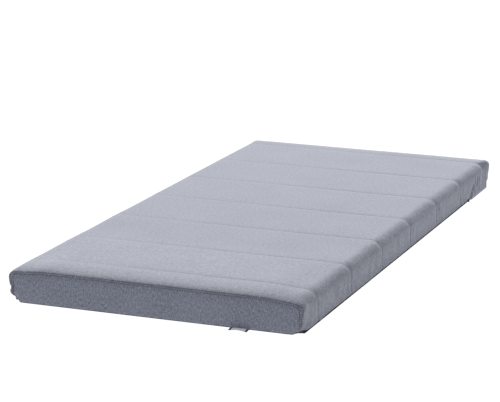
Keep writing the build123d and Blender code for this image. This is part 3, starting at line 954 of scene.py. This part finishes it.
def thread_rows():
    """A row of stitches for each CAD row, sunk into the fabric towards the left."""
    for node, y in zip(QUILT_NODES, QUILT_YS):
        column = int(np.argmin(np.abs(along_bed(FINE_T)[0] - y) + 1.0 * (np.abs(FINE_T) > 1)))
        on_cloth = FINE_POINTS[:, column, 2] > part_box(node)[0].z
        points, normals = FINE_POINTS[on_cloth, column], FINE_NORMALS[on_cloth, column]
        sink = STITCH_SINK * (1 - smooth(-0.30, 0.20, points[:, :1]))
        line = (sunk(points, normals, sink), normals)
        piece = stitches(f"{node}_thread", [line], *QUILT_STITCH)
        place(piece, QUILT_THREAD, "quilting_thread", node)


def end_rows():
    """Twin rows at each end seam: one on the top panel's roll, one on the end panel."""
    for side, end in ENDS:
        node = f"{end}_topstitching"
        low_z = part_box(node)[0].z
        column = int(np.argmin(np.abs(FINE_T - side * 1.72)))
        on_cloth = FINE_POINTS[:, column, 2] > low_z
        lines = [(FINE_POINTS[on_cloth, column], FINE_NORMALS[on_cloth, column])]
        lines.append(end_outline(side, SEAM_ROW_IN, low_z))
        piece = stitches(f"{node}_thread", lines, *SEAM_STITCH)
        place(piece, SEAM_THREAD, "seam_thread", node)


def end_outline(side, setback, low_z):
    """A line on an end panel, set back from its seam, from the hem up, across and down again."""
    points = end_points(side, END_COLUMNS, END_ROWS)[0].reshape(-1, 3)
    halves = []
    for across in (-1, 1):
        outline, run = seam_outline(side, across, setback)
        marks = np.arange(0, run[-1], 0.004)
        half = np.stack([np.interp(marks, run, outline[:, k]) for k in range(2)], -1)
        halves.append(half[half[:, 1] > low_z] * np.array([across, 1]))
    both = np.concatenate([halves[1][::-1], halves[0]])
    nearest = [np.argmin((points[:, 0] - x) ** 2 + (points[:, 2] - z) ** 2) for x, z in both]
    line = np.stack([both[:, 0], points[nearest, 1], both[:, 1]], -1)
    return line, np.tile([0.0, float(side), 0.0], (len(line), 1))


def side_line(side, z):
    """The line at height z down one long side of the cover: places and normals."""
    half = len(FINE_U) // 2
    rows = slice(half, None) if side > 0 else slice(half, None, -1)
    points, normals = FINE_POINTS[rows], FINE_NORMALS[rows]
    line, out = [], []
    for column in range(points.shape[1]):
        down = np.interp(-z, -points[:, column, 2], np.arange(len(points)))
        low = min(int(down), len(points) - 2)
        share = down - low
        line.append(points[low, column] * (1 - share) + points[low + 1, column] * share)
        out.append(normals[low, column] * (1 - share) + normals[low + 1, column] * share)
    return np.array(line), np.array(out)


def hem_row():
    """The stitches that hold the upper tape, through the hem of both sides and the foot end."""
    node = "zip_upper_stitching"
    z = middle(node, 2)
    keep = (along_bed(FINE_T)[0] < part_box(node)[1].y) & (np.abs(FINE_T) < 2.2)
    lines = []
    for side in (-1, 1):
        points, normals = side_line(side, z)
        lines.append((points[keep], normals[keep]))
    points, normals = end_points(-1, END_COLUMNS, END_ROWS)
    row = int(np.argmin(np.abs(points[:, len(END_COLUMNS) // 2, 2] - z)))
    lines.append((points[row], normals[row]))
    piece = stitches(f"{node}_thread", lines, *HEM_STITCH)
    place(piece, QUILT_THREAD, "quilting_thread", node)


def underside_row():
    """The stitches that hold the lower tape, through the underside."""
    node = "zip_lower_stitching"
    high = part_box(node)[1]
    points, _ = zip_route(HALF_W - high.x, TAPE_R - 0.003, 0.01, high.y)
    line = draw_in_corners(np.insert(points, 2, 0.0002, axis=1))
    down = np.tile([0.0, 0.0, -1.0], (len(line), 1))
    piece = stitches(f"{node}_thread", [(line, down)], *TAPE_STITCH)
    place(piece, SEAM_THREAD, "seam_thread", node)


thread_rows()
end_rows()
hem_row()
underside_row()

# ---------------------------------------------------------------- labels


LABEL_EXTRA = 0.004  # the label reaches this far past its CAD solid, where it curls down
LABEL_BOW = 0.0011
PALE_SHARE = 0.76  # of the label's width, for its pale field


def end_label():
    """The folded label: out of the hem over the zip, down to the floor, curled at its ends."""
    low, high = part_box("end_label")
    across = np.linspace(low.x, high.x, 29)[None]
    route_y = (high.y, -HALF_L, -HALF_L - 0.008, low.y - LABEL_EXTRA)
    route_z = (0.0022, 0.0022, 0.0030, 0.0008)
    share = np.linspace(0, 1, 14)[:, None]
    knots = np.linspace(0, 1, len(route_y))
    y = np.interp(share, knots, route_y)
    z = np.interp(share, knots, route_z)
    bow = LABEL_BOW * np.cos(np.linspace(-math.pi, math.pi, across.size))[None]
    outer = np.stack(
        [across + 0 * y, y + 0.3 * bow * share, z + (bow + LABEL_BOW) * share], -1
    )
    inner = outer - np.array([0.0, 0.0002, 0.0007])
    piece = closed_sheet("end_label_loop", outer, inner)
    cloth = label_weave("end_label", middle("end_label", 0), PALE_SHARE / 2 * (high.x - low.x))
    place(piece, cloth, "end_label", "end_label")


def care_label():
    low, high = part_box("care_label")
    x, y = np.meshgrid(np.linspace(low.x, high.x, 8), np.linspace(low.y, high.y, 12), indexing="ij")
    outer = np.stack([x, y, high.z + 0.0001 * np.sin(200 * y)], -1)
    piece = closed_sheet("care_label_satin", outer, outer - np.array([0, 0, high.z - low.z]))
    place(piece, CARE_LABEL, "care_label", "care_label")


end_label()
care_label()

# ---------------------------------------------------------------- CAD nodes that stay


def finish_node(node, material):
    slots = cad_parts[node].data.materials
    slots.clear()
    slots.append(material)


for node in ("zip_slider", "zip_pull_tab", "zip_top_stops", "zip_bottom_stop"):
    finish_node(node, METAL)

# ---------------------------------------------------------------- floor, light and camera

FLOOR_R = 22.0
WALL_H = 5.0
WALL_CURVE_R = 3.0
CAMERA_EYE = Vector((2.321, -6.330, 1.730))
CAMERA_AZIMUTH, CAMERA_ELEVATION, CAMERA_ROLL = 20.83, 13.41, 0.50  # degrees
CAMERA_LENS = 153.6
KEY_AZIMUTH, KEY_ELEVATION = 208, 25  # degrees: low, from past the head end and its left
KEY_STRENGTH, KEY_ANGLE = 4.6, 40  # a wide disc, so its shadows are soft


def stage():
    """A pale round floor that curves up into a wall far behind the object."""
    turn = np.linspace(0, math.pi / 2, 9)
    curve = FLOOR_R - WALL_CURVE_R * (1 - np.sin(turn))
    radius = np.concatenate([[0.02, 1, 3, 8], curve, [FLOOR_R]])
    height = np.concatenate([[0, 0, 0, 0], WALL_CURVE_R * (1 - np.cos(turn)), [WALL_H]])
    angle = np.linspace(0, 2 * math.pi, 64, endpoint=False)
    radius, height = radius[:, None], height[:, None]
    points = np.stack([radius * np.cos(angle), radius * np.sin(angle), height + 0 * angle], -1)
    faces = grid_faces(len(radius), len(angle), closed=True)[:, ::-1]
    floor = new_object("floor", points.reshape(-1, 3), faces)
    nodes = Nodes("floor")
    nodes.shader.inputs["Base Color"].default_value = (0.1, 0.1, 0.1, 1)
    nodes.shader.inputs["Roughness"].default_value = 0.9
    nodes.shader.inputs["Specular IOR Level"].default_value = 0.0
    nodes.shader.inputs["Emission Color"].default_value = (1, 1, 1, 1)
    nodes.shader.inputs["Emission Strength"].default_value = 1.0
    floor.data.materials.append(nodes.material)


def direction(azimuth, elevation):
    """Outwards from the object, in degrees: azimuth 0 is -Y, the foot end, and 90 is +X."""
    azimuth, elevation = math.radians(azimuth), math.radians(elevation)
    reach = math.cos(elevation)
    return Vector((reach * math.sin(azimuth), -reach * math.cos(azimuth), math.sin(elevation)))


def lights():
    """One soft sun, and even light from all round."""
    data = bpy.data.lights.new("key", "SUN")
    data.energy = KEY_STRENGTH
    data.angle = math.radians(KEY_ANGLE)
    key = bpy.data.objects.new("key", data)
    bpy.context.scene.collection.objects.link(key)
    key.rotation_mode = "QUATERNION"
    key.rotation_quaternion = direction(KEY_AZIMUTH, KEY_ELEVATION).to_track_quat("Z", "Y")
    world = bpy.data.worlds.new("studio")
    world.use_nodes = True
    background = world.node_tree.nodes["Background"]
    background.inputs["Color"].default_value = (0.96, 0.98, 1.0, 1)
    background.inputs["Strength"].default_value = 0.65
    bpy.context.scene.world = world


def camera():
    data = bpy.data.cameras.new("camera")
    data.lens = CAMERA_LENS
    data.sensor_width = 36.0
    eye = bpy.data.objects.new("camera", data)
    bpy.context.scene.collection.objects.link(eye)
    ahead = -direction(CAMERA_AZIMUTH, CAMERA_ELEVATION)
    turn = ahead.to_track_quat("-Z", "Y").to_matrix().to_4x4()
    roll = Matrix.Rotation(math.radians(CAMERA_ROLL), 4, "Z")
    eye.matrix_world = Matrix.Translation(CAMERA_EYE) @ turn @ roll
    bpy.context.scene.camera = eye


stage()
lights()
camera()
bpy.context.scene.view_settings.view_transform = "Standard"
